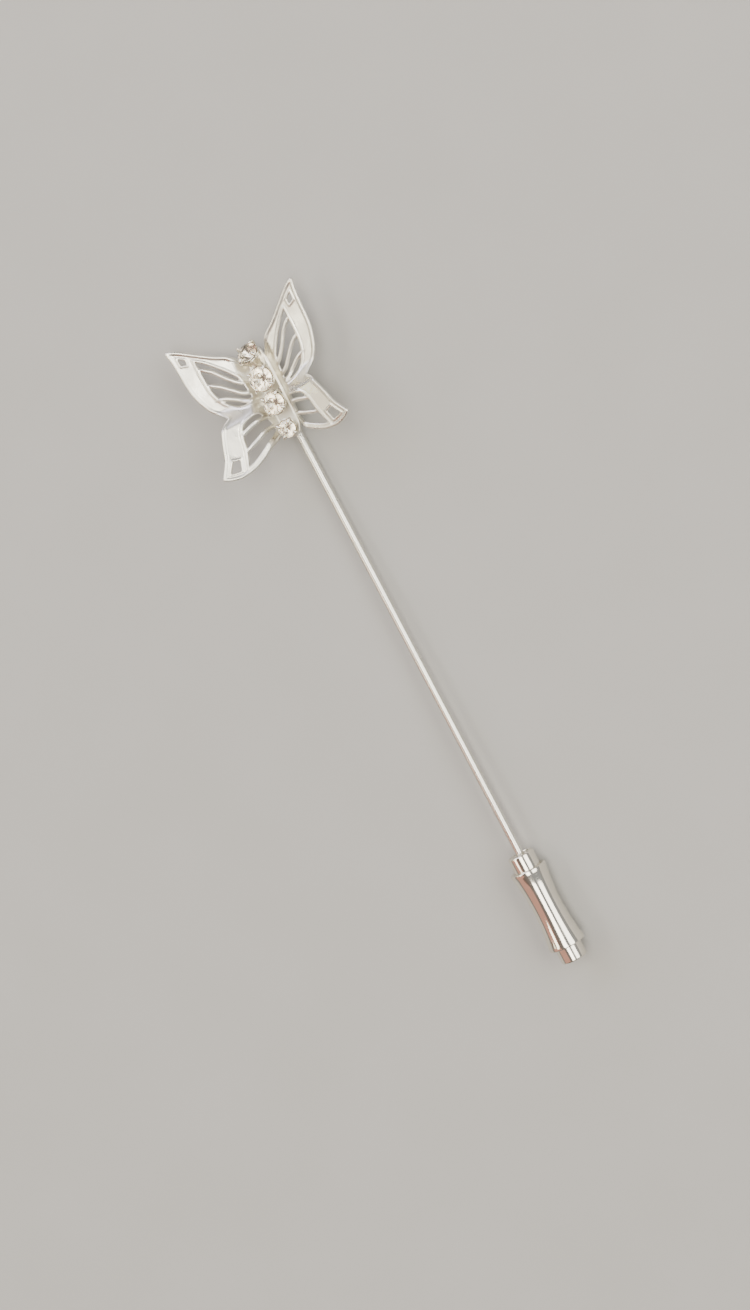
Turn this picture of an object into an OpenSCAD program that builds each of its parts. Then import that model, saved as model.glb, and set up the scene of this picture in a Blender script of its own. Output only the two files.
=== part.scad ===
// Butterfly stick pin: an openwork butterfly set with four stones on a straight needle,
// and a barrel clutch that is pushed over the needle's point.
// Frame: the needle's axis is Y with the butterfly at +Y and its face up, and the origin is
// on that axis where the bare needle leaves the butterfly, which is where cloth holds the pin.

/* [Butterfly] */
// Width over the fore wing tips
wing_span = 16; // [12:0.1:24]
// Length from the fore wing tips to the hind wings' lower edge
butterfly_len = 15.3; // [12:0.1:24]
// Thickness of the pressed plate
plate_t = 0.5; // [0.35:0.05:0.7]
// Width of the veins that fan across the fore wings
fore_vein_w = 0.38; // [0.3:0.02:0.5]
// Width of the veins that cross the hind wings
hind_vein_w = 0.42; // [0.3:0.02:0.5]
// Half the width of the flat strip that carries the cups
strip_half_w = 1; // [0.9:0.05:1.2]
// Height of the step where a fore wing leaves the strip
fore_rise = 0.9; // [0.4:0.1:1.5]
// Height of the step where a hind wing leaves the strip
hind_rise = 2; // [1:0.1:2.4]
// Slope of a fore wing outside its step, rise over run
fore_slope = 0.175; // [0.05:0.01:0.4]
// Slope of a hind wing outside its step, rise over run
hind_slope = 0.4; // [0.1:0.01:0.5]
// How far the strip runs on past the middle of the head cup's foot
strip_front_len = 1.5; // [1.3:0.1:2]
// How far the strip runs on past the middle of the tail cup's foot
strip_back_len = 1.2; // [1:0.1:2]

/* [Stones and cups] */
// Radius of the stone at the head
head_stone_r = 1.1; // [0.9:0.05:1.2]
// Radius of the thorax stone, the largest
thorax_stone_r = 1.25; // [0.9:0.05:1.3]
// Radius of the waist stone
waist_stone_r = 1.15; // [0.9:0.05:1.2]
// Radius of the tail stone, the smallest
tail_stone_r = 0.9; // [0.8:0.05:1.1]
// Gap between the rims of the thorax cup and the waist cup
waist_space = 0.2; // [0.1:0.05:0.5]
// Gap between the rims of the waist cup and the tail cup, before the tail cup leans
tail_space = 0.45; // [0.3:0.05:0.8]
// Gap between the rim of the thorax cup and the foot of the head cup, seen from above
head_space = 0.1; // [0.1:0.05:0.5]
// Height of a full-size stone's girdle above the foot of its cup
cup_rise = 1.65; // [1.4:0.05:2]
// Height of the tail stone's girdle above the foot of its cup
tail_cup_rise = 1.25; // [1.1:0.05:1.6]
// Forward lean of the head cup, in degrees
head_lean = 35; // [0:1:40]
// Backward lean of the tail cup, in degrees
tail_lean = 12; // [0:1:25]
// Wall of a cup
cup_wall = 0.2; // [0.15:0.05:0.3]
// Width of one claw
claw_w = 0.4; // [0.3:0.02:0.5]
// Thickness of one claw
claw_t = 0.18; // [0.14:0.02:0.24]

/* [Needle] */
// Diameter of the needle
needle_d = 0.9; // [0.7:0.05:1.1]
// Length of the needle from its soldered end to its point
needle_len = 68; // [45:0.5:90]
// Length of the tapered point
point_len = 5; // [3:0.5:7]
// Length of the solder seam
seam_len = 7.6; // [5:0.1:8]
// How far the needle's soldered end sits back from the front of the strip
needle_setback = 1.6; // [1.2:0.1:2.5]

/* [Clutch] */
// Length of the clutch over both collars
clutch_len = 12.4; // [12:0.1:16]
// Diameter of the clutch over its two rims
rim_d = 4; // [3.6:0.1:5]
// Wall of the sleeve at its waist, over the inner tube
waist_wall = 0.15; // [0.1:0.05:0.25]
// Diameter of the collars, which are the ends of the inner tube
collar_d = 2.9; // [2.6:0.1:3]
// How far each collar stands out of the sleeve
collar_len = 1.7; // [1.2:0.1:2.2]
// Wall of the inner tube
tube_wall = 0.25; // [0.2:0.05:0.35]
// How much of the needle the clutch covers
clutch_cover = 10; // [9:0.1:11]
// Length of the plug in the closed end
plug_len = 1.2; // [0.8:0.1:1.6]

/* [Clearances] */
// Radial gap between the needle and the drilled guide
guide_gap = 0.05; // [0.02:0.01:0.1]
// Radial gap between the needle and the grip
grip_gap = 0.02; // [0.01:0.01:0.05]
// Radial gap between the grip and the tube that turns round it
spin_gap = 0.03; // [0.01:0.01:0.08]
// Gap at each end of the grip
end_gap = 0.1; // [0.05:0.05:0.3]
// Gap between a stone and the claws and lip that hold it
stone_gap = 0.02; // [0.01:0.01:0.04]
// Depth of solder between the needle and the plate
seam_gap = 0.05; // [0.02:0.01:0.1]

/* [Hidden] */

// The butterfly is drawn at a span of 16 and a length of 15.3, then stretched to its sizes.
drawn_half_span = 8;
drawn_top = 8.75;
drawn_bottom = -6.55;
scale_x = wing_span / 2 / drawn_half_span;
scale_y = butterfly_len / (drawn_top - drawn_bottom);

needle_r = needle_d / 2;
rim_r = rim_d / 2;
tube_r = collar_d / 2;
bore_r = tube_r - tube_wall;
waist_r = tube_r + waist_wall;

// Heights above the needle's axis
plate_low = needle_r + seam_gap;
plate_top = plate_low + plate_t;
plate_mid = plate_low + plate_t / 2;

// How much narrower a cup's foot is than its stone, and how far its rim stands out past the stone
cup_taper = 0.45;
cup_rim = 0.1;

// Places along the needle, from the middle of the butterfly's body. The cups stand rim to rim.
thorax_y = 1.5;
waist_y = thorax_y - thorax_stone_r - waist_stone_r - 2 * cup_rim - waist_space;
tail_y = waist_y - waist_stone_r - tail_stone_r - 2 * cup_rim - tail_space;
head_y = thorax_y + thorax_stone_r + cup_rim + head_space + head_stone_r - cup_taper;
strip_front_y = head_y + strip_front_len;
strip_back_y = tail_y - strip_back_len;
needle_top_y = strip_front_y - needle_setback;
point_y = needle_top_y - needle_len;
mouth_y = point_y + clutch_cover;
// The origin is at the back end of the strip.
body_y = -strip_back_y;

// The strip is a little narrower than the flat it lies on, and the wings' roots lap over it.
strip_edge = strip_half_w - 0.07;
root_x = (strip_half_w - 0.2) / scale_x;

// Outline of a fore wing: front edge out to the tip, then the outer margin back to the notch
fore_front = [[root_x, 3.6], [1.5, 4.3], [2.1, 4.95], [2.6, 5.4], [3.5, 5.9], [4.7, 6.7],
    [6, 7.65], [7.1, 8.4], [8, 8.75]];
fore_margin = [[8, 8.75], [7.75, 7.4], [7.65, 6.1], [7.6, 4.9], [7.45, 3.6], [7.1, 2.4],
    [6.6, 1.3], [6.1, 0.7], [5.4, 0.1], [4.8, -0.5]];
// The pierced field of a fore wing, before the veins cross it
fore_field = [[5.75, 6.7], [4.8, 5.95], [3.9, 5], [3.2, 4.2], [2.6, 3.4], [2.2, 2.7], [2, 1.5],
    [1.9, 0.4], [2.2, -0.15], [3.2, -0.05], [4.2, 0.45], [5, 1.3], [5.5, 2.4], [5.7, 3.6],
    [5.75, 5]];
fore_veins = [
    [[1.7, 1.9], [2.6, 2.45], [3.6, 3.5], [4.6, 4.75], [6, 5.8]],
    [[1.6, 0.95], [2.6, 1.2], [3.7, 2.2], [4.7, 3.1], [6, 3.85]],
    [[1.6, 0.15], [2.6, 0.35], [3.6, 1], [4.6, 1.6], [5.7, 1.9]]
];
fore_window = [[7.2, 7.75], [6.35, 7.2], [6.4, 6.45], [7.2, 6.75]];

// Outline of a hind wing: outer margin down to the tip, then the lower edge back to the body
hind_margin = [[4.8, -0.5], [5.5, -1.1], [5.9, -2], [6.3, -3.1], [6.65, -4.2], [7.15, -5.1],
    [7.7, -5.95]];
hind_lower = [[7.7, -5.95], [6.9, -6.35], [6, -6.55], [5.2, -6.5], [4.3, -6.3], [3.4, -5.9],
    [2.5, -5.35], [1.7, -4.7], [1.1, -4], [root_x, -3.4]];
hind_field = [[5.1, -6.1], [4.2, -5.85], [3.3, -5.4], [2.4, -4.85], [1.7, -4.3], [1.3, -3.6],
    [1.4, -2.6], [1.7, -1.6], [2, -1.3], [2.9, -1.4], [3.7, -1.8], [4.1, -2.4], [4.3, -3.2],
    [4.45, -4.1], [4.75, -5.1]];
hind_veins = [
    [[1, -2.1], [2, -2.1], [3.1, -2.35], [4.5, -2.9]],
    [[0.9, -3.1], [1.9, -3.35], [3, -3.85], [4.7, -4.5]]
];
hind_window = [[6.15, -4.55], [5.25, -4.8], [5.65, -6.05], [6.95, -5.8]];
// Where the two outlines of a side meet at the body
root_middle = [root_x, -0.9];
// Half outline of the strip that carries the cups, with an arrow-shaped end at the head and tail
strip_half = [[0, strip_front_y], [strip_edge * 0.55, strip_front_y - 0.1],
    [strip_edge * 0.9, strip_front_y - 0.6], [strip_edge, strip_front_y - 1.5],
    [strip_edge, strip_back_y + 1.8], [strip_edge * 0.85, strip_back_y + 0.7],
    [strip_edge * 0.4, strip_back_y + 0.1], [0, strip_back_y]];

// Steps between two given points of a smooth outline and of a vein
edge_steps = 3;
vein_steps = 2;
// Sides of a round vein end, of a cup or stone, and of a piece turned round the needle
vein_fn = 8;
cup_fn = 48;
turned_fn = 64;

// The plate turns from the fore wings' slope to the hind wings' between these two places.
turn_front_y = 0.83;
turn_back_y = -1.63;
// Width of the step beside the strip
step_w = 1.43;
// Where the plate's surface is sampled, across one side and along the body
sheet_margin = 0.5;
sample_x = [strip_half_w, strip_half_w + step_w * 0.2, strip_half_w + step_w * 0.4,
    strip_half_w + step_w * 0.6, strip_half_w + step_w * 0.8, strip_half_w + step_w, 5.31 * scale_x,
    wing_span / 2 + sheet_margin];
turn_samples = 5;
sample_y = concat([drawn_bottom - sheet_margin],
    [for (i = [0:turn_samples]) turn_back_y + (turn_front_y - turn_back_y) * i / turn_samples],
    [drawn_top + sheet_margin]);

// How far the foot of a leaning cup is lifted
lean_lift = 0.35;
// How far a cup's lip reaches in under the stone, and a claw over it
lip_reach = 0.15;
claw_reach = 0.3;
// Where a claw starts, below the lip
claw_root = 0.35;
claws = 4;

// Proportions of a cut stone: half the girdle, the crown, the table and the pavilion
girdle_half = 0.05;
crown_share = 0.32;
table_share = 0.56;
pavilion_share = 0.8;
// Slope of the crown and of the pavilion, rise over run
crown_slope = crown_share / (1 - table_share);
pavilion_slope = pavilion_share;

point_tip_r = 0.04;
// Countersink that leads the needle into the guide
funnel_depth = 0.5;
funnel_flare = 0.35;
// Chamfer on the needle's end and on the collars
edge_round = 0.12;
// Width of the flat land on each rim of the sleeve
rim_land = 0.3;
// Half width of the solder where it meets the strip
seam_side = 0.8;

// A smooth curve through given points, by Catmull-Rom
function spline(a, b, c, d, t) = 0.5 * (2 * b + (c - a) * t + (2 * a - 5 * b + 4 * c - d) * t * t
    + (3 * b - a - 3 * c + d) * t * t * t);
function open_curve(p, n) = let (last = len(p) - 1) concat([for (i = [0:last - 1]) for (k = [0:n - 1])
    spline(p[max(i - 1, 0)], p[i], p[i + 1], p[min(i + 2, last)], k / n)], [p[last]]);

// A rise from 0 to 1 that starts and ends level, and its slope
function ramp(u) = let (c = min(max(u, 0), 1)) c * c * (3 - 2 * c);
function ramp_slope(u) = let (c = min(max(u, 0), 1)) 6 * c * (1 - c);
function blend(y, fore, hind) = let (s = ramp((turn_front_y - y) / (turn_front_y - turn_back_y)))
    fore * (1 - s) + hind * s;
// Middle of the plate above the needle's axis, and half its thickness measured upright
function lift(x, y) = plate_mid + blend(y, fore_rise, hind_rise) * ramp((x - strip_half_w) / step_w)
    + blend(y, fore_slope, hind_slope) * max(0, x - strip_half_w);
function steepness(x, y) = blend(y, fore_rise, hind_rise) * ramp_slope((x - strip_half_w) / step_w)
    / step_w + (x > strip_half_w ? blend(y, fore_slope, hind_slope) : 0);
function half_t(x, y) = plate_t / 2 * sqrt(1 + pow(steepness(x, y), 2));

module vein(points, width) {
    path = open_curve(points, vein_steps);
    for (i = [0:len(path) - 2])
        hull() {
            translate(path[i]) circle(d = width, $fn = vein_fn);
            translate(path[i + 1]) circle(d = width, $fn = vein_fn);
        }
}

module pierced_wing(outline, field, window, veins, vein_w) {
    difference() {
        polygon(outline);
        polygon(window);
        difference() {
            polygon(open_curve(field, vein_steps));
            for (v = veins) vein(v, vein_w);
        }
    }
}

function wing_outline(first, second) = concat(open_curve(first, edge_steps),
    open_curve(second, edge_steps), [root_middle]);

module half_outline() {
    scale([scale_x, scale_y]) {
        pierced_wing(wing_outline(fore_front, fore_margin), fore_field, fore_window, fore_veins,
            fore_vein_w);
        pierced_wing(wing_outline(hind_margin, hind_lower), hind_field, hind_window, hind_veins,
            hind_vein_w);
    }
    polygon(strip_half);
}

// The curved sheet that the wings are pierced from
module curved_sheet() {
    xs = concat([for (i = [len(sample_x) - 1:-1:0]) -sample_x[i]], sample_x);
    nx = len(xs);
    ny = len(sample_y);
    top = [for (y = sample_y) for (x = xs)
        [x, y * scale_y, lift(abs(x), y) + half_t(abs(x), y)]];
    low = [for (y = sample_y) for (x = xs)
        [x, y * scale_y, lift(abs(x), y) - half_t(abs(x), y)]];
    n = nx * ny;
    cells = [for (j = [0:ny - 2]) for (i = [0:nx - 2]) j * nx + i];
    faces = concat(
        [for (c = cells) [c, c + nx, c + 1]],
        [for (c = cells) [c + 1, c + nx, c + nx + 1]],
        [for (c = cells) [n + c, n + c + 1, n + c + nx]],
        [for (c = cells) [n + c + 1, n + c + nx + 1, n + c + nx]],
        [for (i = [0:nx - 2]) each [[i, i + 1, n + i], [i + 1, n + i + 1, n + i]]],
        [for (i = [0:nx - 2]) let (a = n - nx + i)
            each [[a, n + a, a + 1], [a + 1, n + a, n + a + 1]]],
        [for (j = [0:ny - 2]) let (a = j * nx)
            each [[a, n + a, a + nx], [n + a, n + a + nx, a + nx]]],
        [for (j = [0:ny - 2]) let (a = j * nx + nx - 1)
            each [[a, a + nx, n + a], [n + a, a + nx, n + a + nx]]]
    );
    polyhedron(concat(top, low), faces);
}

module at_body() {
    translate([0, body_y, 0]) children();
}

module butterfly_wings() {
    // Tall enough to cut right through the sheet at any rise
    cutter_h = 20;
    color("silver") at_body() intersection() {
        curved_sheet();
        translate([0, 0, -cutter_h / 2]) linear_extrude(cutter_h) {
            half_outline();
            mirror([1, 0]) half_outline();
        }
    }
}

// A cut stone with its girdle at a given height
module stone(r, rise) {
    table_z = rise + girdle_half + crown_share * r;
    color("azure") rotate_extrude($fn = cup_fn) polygon([
        [0, rise - girdle_half - pavilion_share * r], [r, rise - girdle_half],
        [r, rise + girdle_half], [table_share * r, table_z], [0, table_z]]);
}

// An open cup whose lip carries the stone's pavilion, with claws bent over the crown
module cup(r, rise) {
    lip_r = r - lip_reach;
    lip_z = rise - girdle_half - lip_reach * pavilion_slope - stone_gap;
    foot_r = r - cup_taper;
    in_r = r + stone_gap;
    out_r = in_r + claw_t;
    tip_r = r - claw_reach;
    tip_z = rise + girdle_half + claw_reach * crown_slope + stone_gap * 2;
    rotate_extrude($fn = cup_fn) polygon([[0, 0], [foot_r, 0], [r + cup_rim, lip_z], [lip_r, lip_z],
        [foot_r - cup_wall, cup_wall], [0, cup_wall]]);
    for (i = [0:claws - 1]) rotate([0, 0, 45 + i * 360 / claws])
        rotate([90, 0, 0]) linear_extrude(claw_w, center = true) polygon([
            [in_r, lip_z - claw_root], [out_r, lip_z - claw_root], [out_r, rise + girdle_half * 2],
            [tip_r, tip_z + claw_t], [tip_r, tip_z], [in_r, rise + girdle_half + stone_gap]]);
}

// Puts a cup or a stone on the strip, leaning along the body, and keeps it above the plate
module on_strip(y, lean) {
    at_body() translate([0, y, plate_top + (lean == 0 ? 0 : lean_lift)])
        rotate([-lean, 0, 0]) children();
}

// A leaning cup stands on a round foot that is cut off level with the strip
module cup_on_strip(y, r, rise, lean) {
    foot_r = r - cup_taper;
    foot_h = foot_r * 2;
    cut = foot_h * 4;
    color("silver") difference() {
        on_strip(y, lean) {
            cup(r, rise);
            if (lean != 0) translate([0, 0, -foot_h]) cylinder(r = foot_r, h = foot_h, $fn = cup_fn);
        }
        at_body() translate([-cut / 2, y - cut / 2, plate_top - cut]) cube(cut);
    }
}

module cup_head() { cup_on_strip(head_y, head_stone_r, cup_rise, head_lean); }
module cup_thorax() { cup_on_strip(thorax_y, thorax_stone_r, cup_rise, 0); }
module cup_waist() { cup_on_strip(waist_y, waist_stone_r, cup_rise, 0); }
module cup_tail() { cup_on_strip(tail_y, tail_stone_r, tail_cup_rise, -tail_lean); }
module stone_head() { on_strip(head_y, head_lean) stone(head_stone_r, cup_rise); }
module stone_thorax() { on_strip(thorax_y, 0) stone(thorax_stone_r, cup_rise); }
module stone_waist() { on_strip(waist_y, 0) stone(waist_stone_r, cup_rise); }
module stone_tail() { on_strip(tail_y, -tail_lean) stone(tail_stone_r, tail_cup_rise); }

// Turns a profile of [radius, distance from the start] round the needle's axis, towards the point
module turned(start_y, profile) {
    at_body() translate([0, start_y, 0]) rotate([90, 0, 0])
        rotate_extrude($fn = turned_fn) polygon(profile);
}

module needle() {
    color("silver") turned(needle_top_y, [[0, 0], [needle_r - edge_round, 0], [needle_r, edge_round],
        [needle_r, needle_len - point_len], [point_tip_r, needle_len], [0, needle_len]]);
}

// Solder drawn up on both sides of the needle, under the strip
module solder_seam() {
    start = needle_top_y - edge_round;
    color("gainsboro") at_body() difference() {
        translate([0, start, 0]) rotate([90, 0, 0]) linear_extrude(seam_len) polygon([
            [-seam_side, plate_low], [-needle_r, 0], [needle_r, 0], [seam_side, plate_low]]);
        translate([0, start + 1, 0]) rotate([90, 0, 0])
            cylinder(r = needle_r, h = seam_len + 2, $fn = turned_fn);
    }
}

// Outer sleeve, waisted between its two rims by an arc
module clutch_sleeve() {
    length = clutch_len - 2 * collar_len;
    half = length / 2 - rim_land;
    dip = rim_r - waist_r;
    arc_r = (half * half + dip * dip) / (2 * dip);
    steps = 8;
    waist = [for (i = [-steps:steps]) let (s = half * i / steps)
        [waist_r + arc_r - sqrt(arc_r * arc_r - s * s), length / 2 + s]];
    color("silver") turned(mouth_y - collar_len, concat([[tube_r, 0], [rim_r, 0]], waist,
        [[rim_r, length], [tube_r, length]]));
}

module clutch_tube() {
    color("silver") turned(mouth_y, [[bore_r, 0], [tube_r - edge_round, 0], [tube_r, edge_round],
        [tube_r, clutch_len - edge_round], [tube_r - edge_round, clutch_len], [bore_r, clutch_len]]);
}

module clutch_guide() {
    hole_r = needle_r + guide_gap;
    funnel_r = hole_r + funnel_flare;
    color("silver") turned(mouth_y, [[funnel_r, 0], [bore_r, 0], [bore_r, collar_len],
        [hole_r, collar_len], [hole_r, funnel_depth]]);
}

// The grip fills the tube between the guide and the plug
module clutch_grip() {
    start = collar_len + end_gap;
    grip_len = clutch_len - collar_len - plug_len - 2 * end_gap;
    color("white") turned(mouth_y - start, [[needle_r + grip_gap, 0], [bore_r - spin_gap, 0],
        [bore_r - spin_gap, grip_len], [needle_r + grip_gap, grip_len]]);
}

module clutch_plug() {
    color("silver") turned(mouth_y - clutch_len + plug_len, [[0, 0], [bore_r, 0], [bore_r, plug_len],
        [0, plug_len]]);
}

butterfly_wings();
cup_head();
cup_thorax();
cup_waist();
cup_tail();
stone_head();
stone_thorax();
stone_waist();
stone_tail();
needle();
solder_seam();
clutch_sleeve();
clutch_tube();
clutch_guide();
clutch_grip();
clutch_plug();
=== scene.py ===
import math

import bpy
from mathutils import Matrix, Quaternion, Vector, noise


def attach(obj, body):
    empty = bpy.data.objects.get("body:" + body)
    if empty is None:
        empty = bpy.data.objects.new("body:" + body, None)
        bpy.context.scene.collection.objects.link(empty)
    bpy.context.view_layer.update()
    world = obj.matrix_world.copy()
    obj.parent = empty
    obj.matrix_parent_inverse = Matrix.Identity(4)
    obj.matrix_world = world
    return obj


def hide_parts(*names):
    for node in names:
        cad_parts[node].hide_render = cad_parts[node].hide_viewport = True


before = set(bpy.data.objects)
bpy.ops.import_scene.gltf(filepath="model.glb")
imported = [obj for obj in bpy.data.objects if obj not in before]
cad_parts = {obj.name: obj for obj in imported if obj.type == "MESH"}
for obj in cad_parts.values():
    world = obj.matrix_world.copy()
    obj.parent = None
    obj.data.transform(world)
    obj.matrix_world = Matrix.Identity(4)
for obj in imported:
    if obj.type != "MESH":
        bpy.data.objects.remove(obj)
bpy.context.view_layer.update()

# ---------------------------------------------------------------------------------------------
# Camera: looks down on the pin's face from over its right wing, with the needle running down to
# the lower right of the picture.
view_azimuth = math.radians(94.02)
view_elevation = math.radians(69.16)
view_roll = math.radians(-121.48)
view_distance = 0.2097
view_target = Vector((-0.0040, -0.0239, 0))

back = Vector((math.sin(view_azimuth) * math.cos(view_elevation),
               -math.cos(view_azimuth) * math.cos(view_elevation), math.sin(view_elevation)))
camera_data = bpy.data.cameras.new("camera")
camera_data.lens = 54.96
camera_data.sensor_width = 36
camera_data.clip_start = 0.002
camera_data.clip_end = 20
camera = bpy.data.objects.new("camera", camera_data)
bpy.context.collection.objects.link(camera)
camera.location = view_target + back * view_distance
camera.rotation_mode = "QUATERNION"
camera.rotation_quaternion = back.to_track_quat("Z", "Y") @ Quaternion((0, 0, 1), view_roll)
bpy.context.scene.camera = camera

# ---------------------------------------------------------------------------------------------
# Butterfly wings: one plate of brass, pressed with raised rims and rounded veins, pierced between
# the veins, bent up at the body and plated bright. It carries the cups and is soldered to the
# needle. Sizes are in millimetres in every section, until to_metres() finishes a piece.
body_y = 5.2                # middle of the butterfly's body, from the frame's origin
plate_t = 0.5
strip_half_w = 1.0          # the flat strip along the body
plate_top = 1.0             # above the needle's axis
plate_mid = plate_top - plate_t / 2
fore_rise, hind_rise = 0.9, 2.0             # the bend beside the strip lifts each wing so far
fore_slope, hind_slope = 0.175, 0.4         # and the wing slopes up so steeply after it
turn_front_y, turn_back_y = 0.83, -1.63     # the fore wing's bend turns into the hind wing's here
bend_w = 1.43
rim_bead_r = 0.22           # raised rim round each wing
opening_rim_r = 0.198       # raised rim round each opening
rim_inset = 0.1             # from the plate's edge to the middle of its rim
panel_half_t = 0.16         # the plate between its rims
panel_drop = 0.06           # it lies a little nearer to the back
vein_r = 0.24
vein_end, vein_swell = 0.6, 0.13            # thickness of a vein's end, and its gain at each step
voxel = 0.068
edge_steps = 6

fore_front = [(0.8, 3.6), (1.5, 4.3), (2.1, 4.95), (2.6, 5.4), (3.5, 5.9), (4.7, 6.7), (6, 7.65),
              (7.1, 8.4), (8, 8.75)]
fore_margin = [(8, 8.75), (7.75, 7.4), (7.65, 6.1), (7.6, 4.9), (7.45, 3.6), (7.1, 2.4), (6.6, 1.3),
               (6.1, 0.7), (5.4, 0.1), (4.8, -0.5)]
fore_field = [(5.75, 6.7), (4.8, 5.95), (3.9, 5), (3.2, 4.2), (2.6, 3.4), (2.2, 2.7), (2, 1.5),
              (1.9, 0.4), (2.2, -0.15), (3.2, -0.05), (4.2, 0.45), (5, 1.3), (5.5, 2.4),
              (5.7, 3.6), (5.75, 5)]
fore_veins = [[(1.7, 1.9), (2.6, 2.45), (3.6, 3.5), (4.6, 4.75), (6, 5.8)],
              [(1.6, 0.95), (2.6, 1.2), (3.7, 2.2), (4.7, 3.1), (6, 3.85)],
              [(1.6, 0.15), (2.6, 0.35), (3.6, 1), (4.6, 1.6), (5.7, 1.9)]]
fore_window = [(7.2, 7.75), (6.35, 7.2), (6.4, 6.45), (7.2, 6.75)]
hind_margin = [(4.8, -0.5), (5.5, -1.1), (5.9, -2), (6.3, -3.1), (6.65, -4.2), (7.15, -5.1),
               (7.7, -5.95)]
hind_lower = [(7.7, -5.95), (6.9, -6.35), (6, -6.55), (5.2, -6.5), (4.3, -6.3), (3.4, -5.9),
              (2.5, -5.35), (1.7, -4.7), (1.1, -4), (0.8, -3.4)]
hind_field = [(5.1, -6.1), (4.2, -5.85), (3.3, -5.4), (2.4, -4.85), (1.7, -4.3), (1.3, -3.6),
              (1.4, -2.6), (1.7, -1.6), (2, -1.3), (2.9, -1.4), (3.7, -1.8), (4.1, -2.4),
              (4.3, -3.2), (4.45, -4.1), (4.75, -5.1)]
hind_veins = [[(1, -2.1), (2, -2.1), (3.1, -2.35), (4.5, -2.9)],
              [(0.9, -3.1), (1.9, -3.35), (3, -3.85), (4.7, -4.5)]]
hind_window = [(6.15, -4.55), (5.25, -4.8), (5.65, -6.05), (6.95, -5.8)]
strip_outline = [(0, 5.1), (0.5, 5), (0.85, 4.5), (0.93, 3.6), (0.93, -3.4), (0.8, -4.5),
                 (0.4, -5.1), (0, -5.2)]


def clear_selection():
    bpy.ops.object.select_all(action="DESELECT")


def pick(*objects):
    """Selects these objects alone, with the first of them active."""
    clear_selection()
    for o in objects:
        o.select_set(True)
    bpy.context.view_layer.objects.active = objects[0]


def apply_modifier(obj, kind, **settings):
    modifier = obj.modifiers.new(kind, kind)
    for key, value in settings.items():
        setattr(modifier, key, value)
    pick(obj)
    bpy.ops.object.modifier_apply(modifier=modifier.name)


def smooth_line(points, steps=edge_steps):
    """A smooth curve through the given points."""
    line = []
    for i in range(len(points) - 1):
        a, b = Vector(points[max(i - 1, 0)]), Vector(points[i])
        c, d = Vector(points[i + 1]), Vector(points[min(i + 2, len(points) - 1)])
        for k in range(steps):
            t = k / steps
            line.append((2 * b + (c - a) * t + (2 * a - 5 * b + 4 * c - d) * t ** 2
                         + (3 * b - a - 3 * c + d) * t ** 3) / 2)
    return line + [Vector(points[-1])]


def moved_in(loop, distance):
    """A closed outline moved along its own normals, to the left of its direction."""
    moved = []
    for i, p in enumerate(loop):
        along = loop[(i + 1) % len(loop)] - loop[i - 1]
        moved.append(p + Vector((-along.y, along.x)).normalized() * distance)
    return moved


def drawn(name, lines, closed=True, lift=0.0, **settings):
    """A mesh from flat drawn lines: filled and extruded, or a round bead along each line, which
    thins out at both ends if the line is open."""
    data = bpy.data.curves.new(name, "CURVE")
    data.dimensions = "2D" if "extrude" in settings else "3D"
    for key, value in settings.items():
        setattr(data, key, value)
    for line in lines:
        spline = data.splines.new("POLY")
        spline.points.add(len(line) - 1)
        spline.use_cyclic_u = closed
        for i, (point, spot) in enumerate(zip(spline.points, line)):
            point.co = (*spot, 0, 1)
            from_end = min(i, len(line) - 1 - i)
            point.radius = 1 if closed else min(1, vein_end + vein_swell * from_end)
    obj = bpy.data.objects.new(name, data)
    bpy.context.collection.objects.link(obj)
    pick(obj)
    bpy.ops.object.convert(target="MESH")
    obj = bpy.context.object
    obj.location.z = lift
    bpy.ops.object.transform_apply(location=True)
    return obj


def to_metres(obj, name):
    """Names a finished piece and brings it from millimetres to metres, in place."""
    pick(obj)
    obj.name = obj.data.name = name
    obj.scale = (0.001, 0.001, 0.001)
    bpy.ops.object.transform_apply(location=True, rotation=True, scale=True)
    bpy.ops.object.shade_smooth()
    return obj


def ramp(u):
    u = min(max(u, 0), 1)
    return u * u * (3 - 2 * u)


def bent(x, y, z):
    """Height of a point of the flat plate once it is bent up beside the strip."""
    hind = ramp((turn_front_y - y) / (turn_front_y - turn_back_y))
    rise = fore_rise + (hind_rise - fore_rise) * hind
    slope = fore_slope + (hind_slope - fore_slope) * hind
    out = max(abs(x) - strip_half_w, 0)
    u = min(out / bend_w, 1)
    steep = rise * 6 * u * (1 - u) / bend_w + (slope if out else 0)
    return plate_mid + rise * ramp(u) + slope * out + z * math.sqrt(1 + steep ** 2)


# The tips are blunt: the line steps over each sharp corner.
wing_edge = (smooth_line(fore_front)[:-1] + smooth_line(fore_margin)[1:]
             + smooth_line(hind_margin)[1:-1] + smooth_line(hind_lower)[1:])
openings = [smooth_line(fore_field), smooth_line(hind_field),
            [Vector(p) for p in fore_window], [Vector(p) for p in hind_window]]
whole_strip = smooth_line(strip_outline)
whole_strip += [Vector((-p.x, p.y)) for p in reversed(whole_strip[1:-1])]

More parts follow.
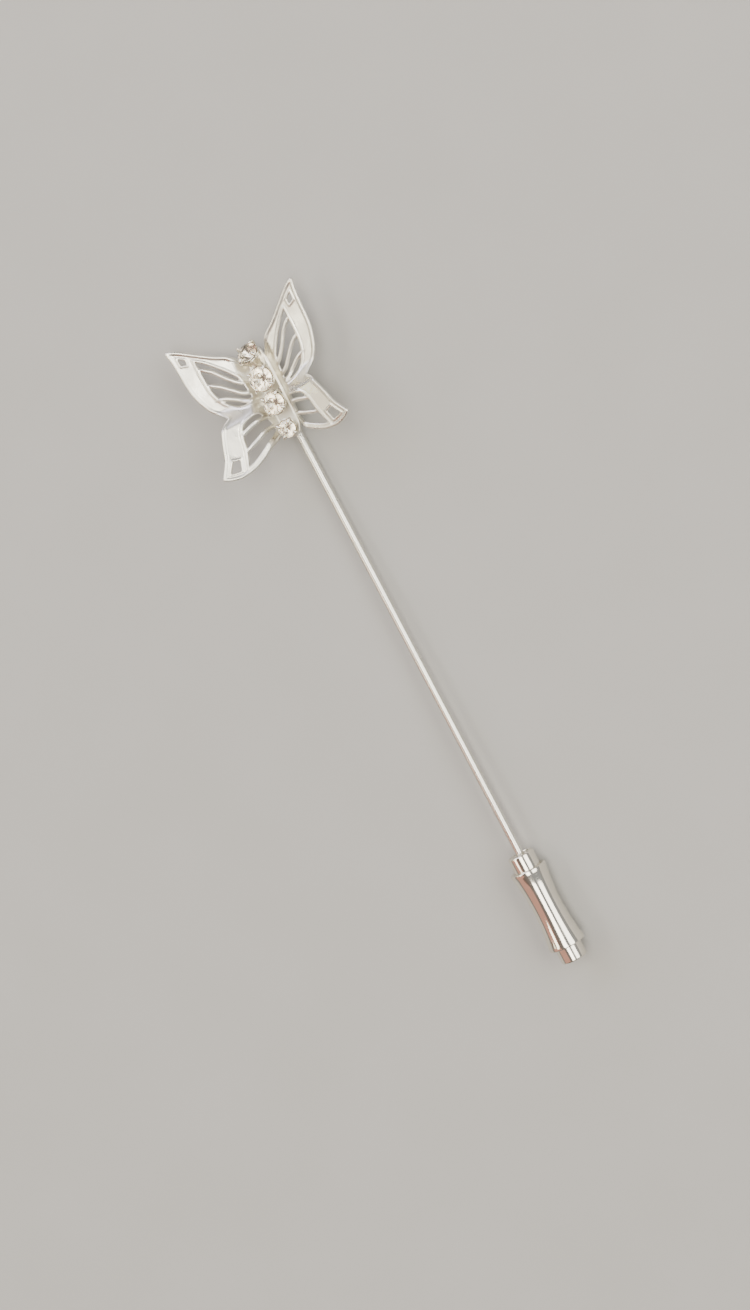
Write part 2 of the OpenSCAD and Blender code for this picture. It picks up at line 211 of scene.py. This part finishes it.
panels = drawn("panels", [wing_edge, *openings], extrude=panel_half_t, fill_mode="BOTH",
               lift=-panel_drop)
edge_rim = drawn("edge_rim", [moved_in(wing_edge, -rim_inset)], bevel_depth=rim_bead_r,
                 bevel_resolution=3)
opening_rims = drawn("opening_rims", openings, bevel_depth=opening_rim_r, bevel_resolution=3)
veins = drawn("veins", [smooth_line(v)[:-1] for v in fore_veins + hind_veins], closed=False,
              use_fill_caps=True, bevel_depth=vein_r, bevel_resolution=3)
pick(panels, edge_rim, opening_rims, veins)
bpy.ops.object.join()
right_side = bpy.context.object
bpy.ops.object.duplicate()
left_side = bpy.context.object
left_side.scale.x = -1
bpy.ops.object.transform_apply(scale=True)
bpy.ops.object.mode_set(mode="EDIT")
bpy.ops.mesh.select_all(action="SELECT")
bpy.ops.mesh.flip_normals()
bpy.ops.object.mode_set(mode="OBJECT")
strip = drawn("strip", [whole_strip], extrude=plate_t / 2, fill_mode="BOTH")
pick(right_side, left_side, strip)
bpy.ops.object.join()
wings = bpy.context.object
apply_modifier(wings, "REMESH", mode="VOXEL", voxel_size=voxel)
apply_modifier(wings, "SMOOTH", factor=0.5, iterations=4)
for vertex in wings.data.vertices:
    x, y, z = vertex.co
    vertex.co = (x, y + body_y, bent(x, y, z))
to_metres(wings, "wings_plate")
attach(wings, "pin")
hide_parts("butterfly_wings")


def linear(hex_colour):
    """An sRGB hex value as the linear colour that a shader takes."""
    channels = [int(hex_colour[i:i + 2], 16) / 255 for i in (1, 3, 5)]
    return (*[c / 12.92 if c <= 0.04045 else ((c + 0.055) / 1.055) ** 2.4 for c in channels], 1)


def add_node(tree, kind, inputs=(), **settings):
    """Adds a node. An input is a plain value, or the output that is linked to it."""
    node = tree.nodes.new(kind)
    for key, value in settings.items():
        setattr(node, key, value)
    for key, value in dict(inputs).items():
        if isinstance(value, bpy.types.NodeSocket):
            tree.links.new(value, node.inputs[key])
        else:
            node.inputs[key].default_value = value
    return node


def new_material(name):
    material = bpy.data.materials.new(name)
    material.use_nodes = True
    tree = material.node_tree
    shader = tree.nodes["Principled BSDF"]
    place = add_node(tree, "ShaderNodeTexCoord").outputs["Object"]
    return material, tree, shader, place


def bright_plating(name, colour, shade, recess_colour, ripple_mm, ripple_depth_mm, roughness):
    """Rhodium plating over tumbled brass, white and bright. The tumbled ground leaves a soft
    ripple, so that reflections break up. The corners that ambient occlusion finds are darker in
    colour, and duller where no cloth reaches."""
    material, tree, shader, place = new_material(name)
    # The polish is lighter and darker in clouds 2.4 mm across. Within 0.6 mm of a corner the colour
    # darkens, by ambient occlusion.
    ripple = add_node(tree, "ShaderNodeTexNoise",
                      {"Vector": place, "Scale": 1000 / ripple_mm, "Detail": 3.0, "Roughness": 0.55})
    cloud = add_node(tree, "ShaderNodeTexNoise", {"Vector": place, "Scale": 420.0, "Detail": 4.0})
    open_sky = add_node(tree, "ShaderNodeAmbientOcclusion", {"Distance": 0.0006}, samples=6,
                        only_local=True)
    crevice = add_node(tree, "ShaderNodeMapRange",
                       {"Value": open_sky.outputs["AO"], "From Min": 0.35, "From Max": 0.8,
                        "To Min": 1.0, "To Max": 0.0})
    tint = add_node(tree, "ShaderNodeMix",
                    {0: cloud.outputs[0], 6: linear(colour), 7: linear(shade)}, data_type="RGBA")
    # Darkens the colour towards the darker given colour in recessed corners, where the ambient
    # occlusion above finds them
    recess_darkening = add_node(tree, "ShaderNodeMath", {0: crevice.outputs[0], 1: 0.35},
                     operation="MULTIPLY")
    whole = add_node(tree, "ShaderNodeMix",
                     {0: recess_darkening.outputs[0], 6: tint.outputs[2], 7: linear(recess_colour)},
                     data_type="RGBA")
    dull = add_node(tree, "ShaderNodeMapRange",
                    {"Value": cloud.outputs[0], "From Min": 0.3, "From Max": 0.75,
                     "To Min": roughness * 0.75, "To Max": roughness * 1.5})
    worn = add_node(tree, "ShaderNodeMath",
                    {0: crevice.outputs[0], 1: 0.12, 2: dull.outputs[0]},
                    operation="MULTIPLY_ADD")
    bump = add_node(tree, "ShaderNodeBump",
                    {"Strength": 1.0, "Distance": ripple_depth_mm / 1000,
                     "Height": ripple.outputs[0]})
    shader.inputs["Metallic"].default_value = 1
    tree.links.new(whole.outputs[2], shader.inputs["Base Color"])
    tree.links.new(worn.outputs[0], shader.inputs["Roughness"])
    tree.links.new(bump.outputs[0], shader.inputs["Normal"])
    return material


wings.data.materials.append(bright_plating(
    "rhodium_plated_pressing", "#F6F3E9", "#E6E2D5", "#A69E89", ripple_mm=0.9,
    ripple_depth_mm=0.03, roughness=0.3))

# ---------------------------------------------------------------------------------------------
# Claw cups: each is drawn from sheet brass into a flared cup with a rolled lip, with four claws
# bent over the stone, then plated with the rest. Each is soldered to the strip by its foot, and
# the head cup and the tail cup lean away from the middle.
cup_rise, tail_cup_rise = 1.65, 1.25        # stone's girdle above the foot
head_lean, tail_lean = 35, -12              # degrees
lean_lift = 0.35            # a leaning cup stands so much higher
stem_len = 0.75             # and its foot runs down into the strip
cup_taper = 0.45            # the foot's radius is so much less than the stone's
lip_drop = 0.19             # from the girdle down to the cup's lip
cup_wall = 0.2
claw_r = 0.17
claw_count = 4
# name, radius of its stone, place of its foot along the needle, rise and lean
settings_of = [("head", 1.1, 8.8, cup_rise, head_lean), ("thorax", 1.25, 6.7, cup_rise, 0),
               ("waist", 1.15, 3.9, cup_rise, 0), ("tail", 0.9, 1.2, tail_cup_rise, tail_lean)]
cup_metal = bright_plating("rhodium_plated_cup", "#F5F0E3", "#E2DBCA", "#8E816A", ripple_mm=0.7,
                           ripple_depth_mm=0.012, roughness=0.2)


def turned(name, profile, steps=64, closed=True):
    """Spins a profile of (radius, height) round Z, in millimetres."""
    data = bpy.data.meshes.new(name)
    count = len(profile)
    edges = [(i, (i + 1) % count) for i in range(count if closed else count - 1)]
    data.from_pydata([(r, 0, z) for r, z in profile], edges, [])
    obj = bpy.data.objects.new(name, data)
    bpy.context.collection.objects.link(obj)
    pick(obj)
    bpy.ops.object.mode_set(mode="EDIT")
    bpy.ops.mesh.select_all(action="SELECT")
    bpy.ops.mesh.spin(steps=steps, angle=math.tau, center=(0, 0, 0), axis=(0, 0, 1))
    bpy.ops.mesh.select_all(action="SELECT")
    bpy.ops.mesh.remove_doubles(threshold=0.0005)
    bpy.ops.mesh.normals_make_consistent(inside=False)
    bpy.ops.object.mode_set(mode="OBJECT")
    return obj


def stand_on_strip(obj, y, lean):
    """Moves a cup or stone from the origin to its foot's place on the strip."""
    obj.rotation_euler.x = math.radians(-lean)
    obj.location = (0, y, plate_top + (lean_lift if lean else 0))
    pick(obj)
    bpy.ops.object.transform_apply(location=True, rotation=True, scale=True)


def claw(r, rise, angle):
    """One claw: a rounded bar up the cup's wall, bent over the crown of the stone."""
    lip = rise - lip_drop
    up_the_wall = [(r - cup_taper + 0.12, 0.25), (r - 0.08, lip * 0.72), (r + 0.16, lip - 0.02)]
    over_the_stone = [(r + 0.2, rise + 0.05), (r + 0.13, rise + 0.22), (r - 0.04, rise + 0.32),
                      (r - 0.26, rise + 0.38)]
    path = smooth_line(up_the_wall + over_the_stone, steps=4)
    data = bpy.data.curves.new("claw", "CURVE")
    data.dimensions = "3D"
    data.bevel_depth = claw_r
    data.bevel_resolution = 3
    data.use_fill_caps = True
    spline = data.splines.new("POLY")
    spline.points.add(len(path) - 1)
    for i, (point, p) in enumerate(zip(spline.points, path)):
        point.co = (p.x * math.cos(angle), p.x * math.sin(angle), p.y, 1)
        to_tip = (len(path) - 1 - i) / 5
        point.radius = math.sqrt(max(0.08, min(1, to_tip * (2 - min(to_tip, 1)))))
    obj = bpy.data.objects.new("claw", data)
    bpy.context.collection.objects.link(obj)
    pick(obj)
    bpy.ops.object.convert(target="MESH")
    return bpy.context.object


for name, r, y, rise, lean in settings_of:
    lip, foot = rise - lip_drop, r - cup_taper
    low = -stem_len if lean else 0.0
    flare = [(0, low), (foot, low), (foot, 0.02), (foot + 0.03, 0.1), (r - 0.12, lip * 0.74)]
    rolled_lip = [(r + 0.04, lip - 0.14), (r + 0.12, lip - 0.07), (r + 0.13, lip - 0.01),
                  (r + 0.09, lip + 0.03), (r + 0.02, lip + 0.02), (r - 0.08, lip - 0.05)]
    inside = [(r - 0.16, lip - 0.2), (foot - cup_wall + 0.05, 0.3), (foot - cup_wall, cup_wall),
              (0, cup_wall)]
    cup = turned("cup_bowl", flare + rolled_lip + inside, closed=False)
    claws = [claw(r, rise, math.tau * (k + 0.5) / claw_count) for k in range(claw_count)]
    pick(cup, *claws)
    bpy.ops.object.join()
    cup = bpy.context.object
    stand_on_strip(cup, y, lean)
    to_metres(cup, "claw_cup_" + name)
    bpy.ops.object.shade_smooth_by_angle(angle=math.radians(50))
    cup.data.materials.append(cup_metal)
    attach(cup, "pin")
    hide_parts("cup_" + name)

# ---------------------------------------------------------------------------------------------
# Stones: clear lead glass, ground and polished as round brilliants, with a mirror foil and a
# bronze lacquer on the pavilion. Each sits in its cup and is held by the claws.
girdle_half = 0.05
# Shares of the stone's radius: height of the crown, radius of the table, depth of the pavilion.
crown_share, table_share, pavilion_share = 0.32, 0.56, 0.8
star_share = 0.8            # radius of the points between the table and the girdle
lower_share, lower_depth = 0.3, 0.723       # radius and depth where the pavilion's facets fork
girdle_facets = 32
foil_normal_z = -0.2        # facets that face down more than this carry the foil


def brilliant(name, r, rise):
    crown, depth = crown_share * r, pavilion_share * r
    points = []
    for k in range(8):
        main, between = math.radians(45 * k), math.radians(45 * k + 22.5)
        points.append((table_share * r, main, rise + girdle_half + crown))
        kite = (1 - star_share * math.cos(math.radians(22.5))) / (1 - table_share)
        points.append((star_share * r, between, rise + girdle_half + crown * kite))
        points.append((lower_share * r, between, rise - girdle_half - depth * lower_depth))
    for k in range(girdle_facets):
        for side_of_girdle in (-girdle_half, girdle_half):
            points.append((r, math.tau * k / girdle_facets, rise + side_of_girdle))
    points.append((0, 0, rise - girdle_half - depth))
    data = bpy.data.meshes.new(name)
    data.from_pydata([(p * math.cos(a), p * math.sin(a), z) for p, a, z in points], [], [])
    obj = bpy.data.objects.new(name, data)
    bpy.context.collection.objects.link(obj)
    pick(obj)
    bpy.ops.object.mode_set(mode="EDIT")
    bpy.ops.mesh.select_all(action="SELECT")
    bpy.ops.mesh.convex_hull()
    bpy.ops.mesh.dissolve_limited(angle_limit=math.radians(1.5))
    bpy.ops.mesh.normals_make_consistent(inside=False)
    bpy.ops.object.mode_set(mode="OBJECT")
    return obj


def lead_glass():
    """Clear cut glass. Its facets are flat and sharp, with only the faintest polishing haze."""
    material, tree, shader, place = new_material("cut_lead_glass")
    # The haze lies in patches of 0.7 mm.
    haze = add_node(tree, "ShaderNodeTexNoise", {"Vector": place, "Scale": 1500.0, "Detail": 2.0})
    polish = add_node(tree, "ShaderNodeMapRange",
                      {"Value": haze.outputs[0], "To Min": 0.0, "To Max": 0.03})
    tint = add_node(tree, "ShaderNodeMix",
                    {0: haze.outputs[0], 6: linear("#FFFFFF"), 7: linear("#FDF8EE")},
                    data_type="RGBA")
    shader.inputs["IOR"].default_value = 1.58
    shader.inputs["Transmission Weight"].default_value = 1
    tree.links.new(tint.outputs[2], shader.inputs["Base Color"])
    tree.links.new(polish.outputs[0], shader.inputs["Roughness"])
    return material


def mirror_foil():
    """Silver foil on the pavilion, seen through the glass as slightly warm, uneven mirrors."""
    material, tree, shader, place = new_material("silvered_foil")
    # Silver takes unevenly over about 1 mm.
    patch = add_node(tree, "ShaderNodeTexNoise", {"Vector": place, "Scale": 900.0, "Detail": 3.0})
    colour = add_node(tree, "ShaderNodeMix",
                      {0: patch.outputs[0], 6: linear("#FFFDF8"), 7: linear("#F4E9D6")},
                      data_type="RGBA")
    dull = add_node(tree, "ShaderNodeMapRange",
                    {"Value": patch.outputs[0], "To Min": 0.05, "To Max": 0.22})
    shader.inputs["Metallic"].default_value = 1
    tree.links.new(colour.outputs[2], shader.inputs["Base Color"])
    tree.links.new(dull.outputs[0], shader.inputs["Roughness"])
    return material


glass, foil = lead_glass(), mirror_foil()
for name, r, y, rise, lean in settings_of:
    stone = brilliant("stone", r, rise)
    stone.data.materials.append(glass)
    stone.data.materials.append(foil)
    for face in stone.data.polygons:
        face.material_index = 1 if face.normal.z < foil_normal_z else 0
    stand_on_strip(stone, y, lean)
    to_metres(stone, "brilliant_" + name)
    bpy.ops.object.shade_flat()
    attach(stone, "pin")
    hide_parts("stone_" + name)

# ---------------------------------------------------------------------------------------------
# Needle: hard-drawn round wire with a long ground point, plated. Its blunt end is soldered under
# the strip.
needle_r = 0.45
needle_top = 8.7
needle_len = 68.0
point_len = 5.0
blunt_len = 0.2             # rounding of the blunt end
shank_rings, point_rings = 24, 16


def along_needle(obj, start_y):
    """Lays a piece that was turned round Z along the needle, its start at start_y."""
    obj.rotation_euler.x = math.radians(90)
    obj.location = (0, start_y, 0)
    pick(obj)
    bpy.ops.object.transform_apply(location=True, rotation=True, scale=True)


profile = [(0, 0), (0.2, 0.01), (0.33, 0.04), (0.42, 0.11), (needle_r, blunt_len)]
straight = needle_len - point_len - blunt_len
for k in range(1, shank_rings):
    profile.append((needle_r, blunt_len + straight * k / shank_rings))
for k in range(point_rings + 1):
    t = k / point_rings
    profile.append((needle_r * math.sqrt(1 - t ** 1.7 * 0.985), needle_len - point_len * (1 - t)))
profile.append((0, needle_len))
needle = turned("needle", profile, steps=48, closed=False)
along_needle(needle, needle_top)
to_metres(needle, "needle_wire")
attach(needle, "pin")
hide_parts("needle")


def drawn_wire():
    """Plated wire: the drawing die leaves faint lines along it, and handling leaves dull patches."""
    material, tree, shader, place = new_material("plated_drawn_wire")
    # Real die lines are about 0.01 mm apart. They are drawn 0.11 mm apart so that they show, and
    # 50 times as long as they are wide. The dull patches are 4 mm across.
    stretch = add_node(tree, "ShaderNodeMapping", {"Vector": place, "Scale": (1.0, 0.02, 1.0)})
    lines = add_node(tree, "ShaderNodeTexNoise",
                     {"Vector": stretch.outputs[0], "Scale": 9000.0, "Detail": 3.0})
    patches = add_node(tree, "ShaderNodeTexNoise", {"Vector": place, "Scale": 260.0, "Detail": 4.0})
    tint = add_node(tree, "ShaderNodeMix",
                    {0: patches.outputs[0], 6: linear("#F2F0E8"), 7: linear("#D5D2C8")},
                    data_type="RGBA")
    dull = add_node(tree, "ShaderNodeMapRange",
                    {"Value": patches.outputs[0], "From Min": 0.3, "From Max": 0.7,
                     "To Min": 0.16, "To Max": 0.32})
    bump = add_node(tree, "ShaderNodeBump",
                    {"Strength": 0.5, "Distance": 0.000004, "Height": lines.outputs[0]})
    shader.inputs["Metallic"].default_value = 1
    tree.links.new(tint.outputs[2], shader.inputs["Base Color"])
    tree.links.new(dull.outputs[0], shader.inputs["Roughness"])
    tree.links.new(bump.outputs[0], shader.inputs["Normal"])
    return material


needle.data.materials.append(drawn_wire())

# ---------------------------------------------------------------------------------------------
# Solder seam: soft tin solder that ran in between the needle and the strip and set with hollow,
# slightly lumpy sides.
seam_len = 7.6
seam_start = 8.58
seam_top = 0.5
seam_half_w = 0.8
seam_foot = 0.9 * needle_r  # half width where the solder meets the needle's middle
seam_end = 0.5              # the seam narrows over this length at each end
clear_selection()
bpy.ops.mesh.primitive_cube_add(size=1, location=(0, seam_start - seam_len / 2, seam_top / 2))
seam = bpy.context.object
seam.scale = (2 * seam_half_w, seam_len, seam_top)
bpy.ops.object.transform_apply(location=True, rotation=True, scale=True)
bpy.ops.object.mode_set(mode="EDIT")
bpy.ops.mesh.select_all(action="SELECT")
bpy.ops.mesh.subdivide(number_cuts=23)
bpy.ops.object.mode_set(mode="OBJECT")
for vertex in seam.data.vertices:
    x, y, z = vertex.co
    hollow = seam_foot + (seam_half_w - seam_foot) * (z / seam_top) ** 2.2
    from_end = min(seam_start - y, y - (seam_start - seam_len)) / seam_end
    taper = math.sqrt(max(0.12, min(1, from_end)))
    lump = 1 + 0.12 * noise.noise(Vector((x * 0.6, y * 1.3, 3.1)))
    vertex.co.x = x / seam_half_w * hollow * taper * lump
apply_modifier(seam, "SMOOTH", factor=0.5, iterations=3)
to_metres(seam, "solder_fillet")
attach(seam, "pin")
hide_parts("solder_seam")


def tin_solder():
    """Tin solder: duller and greyer than the plating, with a frosted, grainy skin."""
    material, tree, shader, place = new_material("tin_solder")
    # The frost has a grain of 0.2 mm, and the solder ran in waves of 1.4 mm.
    grain = add_node(tree, "ShaderNodeTexNoise", {"Vector": place, "Scale": 5000.0, "Detail": 4.0})
    run = add_node(tree, "ShaderNodeTexNoise", {"Vector": place, "Scale": 700.0, "Detail": 3.0})
    tint = add_node(tree, "ShaderNodeMix",
                    {0: run.outputs[0], 6: linear("#C9C8C2"), 7: linear("#96938A")},
                    data_type="RGBA")
    dull = add_node(tree, "ShaderNodeMapRange",
                    {"Value": grain.outputs[0], "To Min": 0.25, "To Max": 0.55})
    bump = add_node(tree, "ShaderNodeBump",
                    {"Strength": 0.6, "Distance": 0.00003, "Height": run.outputs[0]})
    shader.inputs["Metallic"].default_value = 1
    tree.links.new(tint.outputs[2], shader.inputs["Base Color"])
    tree.links.new(dull.outputs[0], shader.inputs["Roughness"])
    tree.links.new(bump.outputs[0], shader.inputs["Normal"])
    return material


seam.data.materials.append(tin_solder())

# ---------------------------------------------------------------------------------------------
# Clutch sleeve: thin brass tube swaged to a waist between two rims, closed down on the inner tube
# at both ends, polished on a wheel and plated.
mouth_y = -49.3
clutch_len = 12.4
collar_len = 1.7
tube_r = 1.45
rim_r = 2.0
waist_r = 1.6
rim_land = 0.3              # straight part of each rim
sleeve_len = clutch_len - 2 * collar_len
swage = 0.12                # radius of the rims' rounded corners
waist_rings = 20            # to each side of the waist's middle


def corner(r, z, radius, start, sweep=90, steps=5):
    """Points round a rounded corner about (r, z), angles in degrees in the profile's plane."""
    turns = [math.radians(start + sweep * k / steps) for k in range(steps + 1)]
    return [(r + radius * math.cos(a), z + radius * math.sin(a)) for a in turns]


half_waist = sleeve_len / 2 - rim_land
dip = rim_r - waist_r
arc_r = (half_waist ** 2 + dip ** 2) / (2 * dip)
profile = [(tube_r + 0.01, 0.14), (tube_r + 0.2, 0.03)]
profile += corner(rim_r - swage, swage, swage, -90)
for k in range(-waist_rings, waist_rings + 1):
    s = half_waist * k / waist_rings
    profile.append((waist_r + arc_r - math.sqrt(arc_r ** 2 - s ** 2), sleeve_len / 2 + s))
profile += corner(rim_r - swage, sleeve_len - swage, swage, 0)
profile += [(tube_r + 0.2, sleeve_len - 0.03), (tube_r + 0.01, sleeve_len - 0.14)]
sleeve = turned("sleeve", profile, steps=96)
along_needle(sleeve, mouth_y - collar_len)
to_metres(sleeve, "waisted_sleeve")
bpy.ops.object.shade_smooth_by_angle(angle=math.radians(40))
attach(sleeve, "clutch")
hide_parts("clutch_sleeve")


def wheel_polished(name, colour, shade, roughness):
    """Plating over wheel-polished brass: nearly a mirror, with hair-fine rings round it from the
    wheel and small dull scuffs from handling."""
    material, tree, shader, place = new_material(name)
    # The wheel's rings are really a few hundredths of a millimetre apart. They are drawn 0.17 mm
    # apart so that they show. Scuffs are 1.9 mm across and dents 2.6 mm.
    squeeze = add_node(tree, "ShaderNodeMapping", {"Vector": place, "Scale": (0.03, 1.0, 0.03)})
    rings = add_node(tree, "ShaderNodeTexNoise",
                     {"Vector": squeeze.outputs[0], "Scale": 6000.0, "Detail": 2.0})
    scuffs = add_node(tree, "ShaderNodeTexNoise",
                      {"Vector": place, "Scale": 520.0, "Detail": 5.0, "Roughness": 0.6})
    dents = add_node(tree, "ShaderNodeTexNoise", {"Vector": place, "Scale": 380.0, "Detail": 1.0})
    tint = add_node(tree, "ShaderNodeMix",
                    {0: scuffs.outputs[0], 6: linear(colour), 7: linear(shade)}, data_type="RGBA")
    dull = add_node(tree, "ShaderNodeMapRange",
                    {"Value": scuffs.outputs[0], "From Min": 0.4, "From Max": 0.8,
                     "To Min": roughness, "To Max": roughness * 3})
    fine = add_node(tree, "ShaderNodeBump",
                    {"Strength": 0.35, "Distance": 0.000003, "Height": rings.outputs[0]})
    bump = add_node(tree, "ShaderNodeBump",
                    {"Strength": 1.0, "Distance": 0.00002, "Height": dents.outputs[0],
                     "Normal": fine.outputs[0]})
    shader.inputs["Metallic"].default_value = 1
    tree.links.new(tint.outputs[2], shader.inputs["Base Color"])
    tree.links.new(dull.outputs[0], shader.inputs["Roughness"])
    tree.links.new(bump.outputs[0], shader.inputs["Normal"])
    return material


clutch_metal = wheel_polished("wheel_polished_plating", "#F3EFE4", "#DED8CA", 0.07)
sleeve.data.materials.append(clutch_metal)

# ---------------------------------------------------------------------------------------------
# Clutch tube, guide and plug: a brass tube inside the sleeve that shows as a collar at each end.
# Its mouth holds a countersunk bush for the needle, and its far end is rolled over a plug.
bore_r = 1.2
guide_hole_r = 0.5
funnel_depth, funnel_flare = 0.5, 0.35
plug_len = 1.2
tube_edge = 0.18            # radius of the tube's rounded ends
profile = ([(bore_r, 0.06), (bore_r + 0.04, 0)]
           + corner(tube_r - tube_edge, tube_edge, tube_edge, -90)
           + corner(tube_r - tube_edge, clutch_len - tube_edge, tube_edge, 0)
           + [(bore_r - 0.12, clutch_len), (bore_r - 0.2, clutch_len - 0.05),
              (bore_r - 0.2, clutch_len - 0.12), (bore_r, clutch_len - 0.16)])
tube = turned("tube", profile, steps=96)
profile = [(bore_r, 0.08), (bore_r, collar_len), (guide_hole_r, collar_len),
           (guide_hole_r, funnel_depth), (guide_hole_r + 0.05, funnel_depth - 0.09),
           (guide_hole_r + funnel_flare - 0.04, 0.1), (guide_hole_r + funnel_flare + 0.03, 0.05),
           (bore_r - 0.06, 0.05)]
guide = turned("guide", profile, steps=64)
plug_start = clutch_len - plug_len
profile = [(0, plug_start), (bore_r, plug_start), (bore_r, clutch_len - 0.17),
           (bore_r - 0.2, clutch_len - 0.15), (0.6, clutch_len - 0.09), (0, clutch_len - 0.07)]
plug = turned("plug", profile, steps=64, closed=False)
for piece, name in ((tube, "tube"), (guide, "guide"), (plug, "plug")):
    along_needle(piece, mouth_y)
    to_metres(piece, "inner_" + name)
    bpy.ops.object.shade_smooth_by_angle(angle=math.radians(40))
    piece.data.materials.append(clutch_metal)
    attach(piece, "clutch")
    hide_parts("clutch_" + name)

# ---------------------------------------------------------------------------------------------
# Clutch grip: a soft nylon sleeve, cut from extruded tube, that fills the clutch between the guide
# and the plug and squeezes the needle.
grip_bore_r = 0.47
grip_r = 1.17
grip_play = 0.1             # to the guide and to the plug
grip_start = collar_len + grip_play
grip_len = clutch_len - collar_len - plug_len - 2 * grip_play
grip_edge = 0.08            # radius of its rounded edges
grip_far = grip_len - grip_edge
profile = (corner(grip_r - grip_edge, grip_edge, grip_edge, -90)
           + corner(grip_r - grip_edge, grip_far, grip_edge, 0)
           + corner(grip_bore_r + grip_edge, grip_far, grip_edge, 90)
           + corner(grip_bore_r + grip_edge, grip_edge, grip_edge, 180))
grip = turned("grip", profile, steps=48)
along_needle(grip, mouth_y - grip_start)
to_metres(grip, "nylon_grip")
bpy.ops.object.shade_smooth_by_angle(angle=math.radians(40))
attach(grip, "grip")
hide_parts("clutch_grip")


def natural_nylon():
    """Unfilled nylon: milky, slightly yellow, soft-edged where light goes in."""
    material, tree, shader, place = new_material("natural_nylon")
    # The milkiness changes over 1.3 mm.
    cloud = add_node(tree, "ShaderNodeTexNoise", {"Vector": place, "Scale": 800.0, "Detail": 3.0})
    tint = add_node(tree, "ShaderNodeMix",
                    {0: cloud.outputs[0], 6: linear("#F3F0E4"), 7: linear("#E2DCC6")},
                    data_type="RGBA")
    dull = add_node(tree, "ShaderNodeMapRange",
                    {"Value": cloud.outputs[0], "To Min": 0.35, "To Max": 0.5})
    shader.inputs["Subsurface Weight"].default_value = 0.3
    shader.inputs["Subsurface Scale"].default_value = 0.0005
    tree.links.new(tint.outputs[2], shader.inputs["Base Color"])
    tree.links.new(dull.outputs[0], shader.inputs["Roughness"])
    return material


grip.data.materials.append(natural_nylon())

# ---------------------------------------------------------------------------------------------
# Floor and light: a plain pale board that touches the clutch's rim and the needle's soldered end,
# so it leans a degree and a half to the needle. Softboxes stand over it and at its sides, and a
# warm board stands low beside the clutch, in a room that is lighter on the right.
rim_y = (mouth_y - collar_len) / 1000
touch_rim = Vector((0, rim_y, -rim_r / 1000))
touch_needle = Vector((0, (needle_top - blunt_len) / 1000, -needle_r / 1000))
board_lean = math.atan2(touch_needle.z - touch_rim.z, touch_needle.y - touch_rim.y)
board_gap = 0.00002         # so that the board and the metal don't share a face
clear_selection()
bpy.ops.mesh.primitive_plane_add(size=8)
floor = bpy.context.object
floor.name = "floor"
floor.rotation_euler.x = board_lean
floor.location = (0, 0, touch_rim.z - rim_y * math.tan(board_lean) - board_gap)
bpy.ops.object.transform_apply(location=True, rotation=True, scale=True)
# Painted board: dull and even, with faint flecks 11 mm across.
material, tree, shader, place = new_material("pale_board")
fleck = add_node(tree, "ShaderNodeTexNoise", {"Vector": place, "Scale": 90.0, "Detail": 5.0})
tint = add_node(tree, "ShaderNodeMix",
                {0: fleck.outputs[0], 6: linear("#A9A7A3"), 7: linear("#A3A19C")}, data_type="RGBA")
tree.links.new(tint.outputs[2], shader.inputs["Base Color"])
shader.inputs["Roughness"].default_value = 0.7
floor.data.materials.append(material)


def soft_light(name, colour, power, size, azimuth, elevation, distance=2.4):
    """An area light that faces the pin from the given direction."""
    data = bpy.data.lights.new(name, "AREA")
    data.shape = "RECTANGLE"
    data.size, data.size_y = size
    data.energy = power
    data.color = linear(colour)[:3]
    obj = bpy.data.objects.new(name, data)
    bpy.context.collection.objects.link(obj)
    a, e = math.radians(azimuth), math.radians(elevation)
    away = Vector((math.sin(a) * math.cos(e), -math.cos(a) * math.cos(e), math.sin(e)))
    obj.location = view_target + away * distance
    obj.rotation_euler = away.to_track_quat("Z", "Y").to_euler()


soft_light("overhead", "#FFFBF0", 54, (2.4, 0.95), 95, 83)
soft_light("right_window", "#FFFCF3", 56, (2.6, 1.3), 95, 40)
soft_light("far_window", "#EDEBFF", 40, (2.2, 1.2), 200, 30)
soft_light("left_upper_panel", "#F6F4E2", 19, (1.84, 0.6), 245, 50)
soft_light("left_lower_panel", "#F1EFD6", 9, (1.84, 0.5), 245, 26)
soft_light("warm_board", "#CB8F7C", 10, (1.38, 2.2), 286, 38)

world = bpy.data.worlds.new("room")
world.use_nodes = True
room_tree = world.node_tree
direction = add_node(room_tree, "ShaderNodeTexCoord").outputs["Generated"]
parts = add_node(room_tree, "ShaderNodeSeparateXYZ", {0: direction})
across = add_node(room_tree, "ShaderNodeMapRange",
                  {"Value": parts.outputs["X"], "From Min": -0.6, "From Max": 0.6},
                  interpolation_type="SMOOTHSTEP")
above = add_node(room_tree, "ShaderNodeMapRange",
                 {"Value": parts.outputs["Z"], "From Min": 0.03, "From Max": 0.3},
                 interpolation_type="SMOOTHSTEP")
walls = add_node(room_tree, "ShaderNodeMix",
                 {0: across.outputs[0], 6: linear("#A08C82"), 7: linear("#DCDDDE")},
                 data_type="RGBA")
room = add_node(room_tree, "ShaderNodeMix",
                {0: above.outputs[0], 6: linear("#D6D4D0"), 7: walls.outputs[2]},
                data_type="RGBA")
sky = room_tree.nodes["Background"]
room_tree.links.new(room.outputs[2], sky.inputs["Color"])
sky.inputs["Strength"].default_value = 0.6
bpy.context.scene.world = world
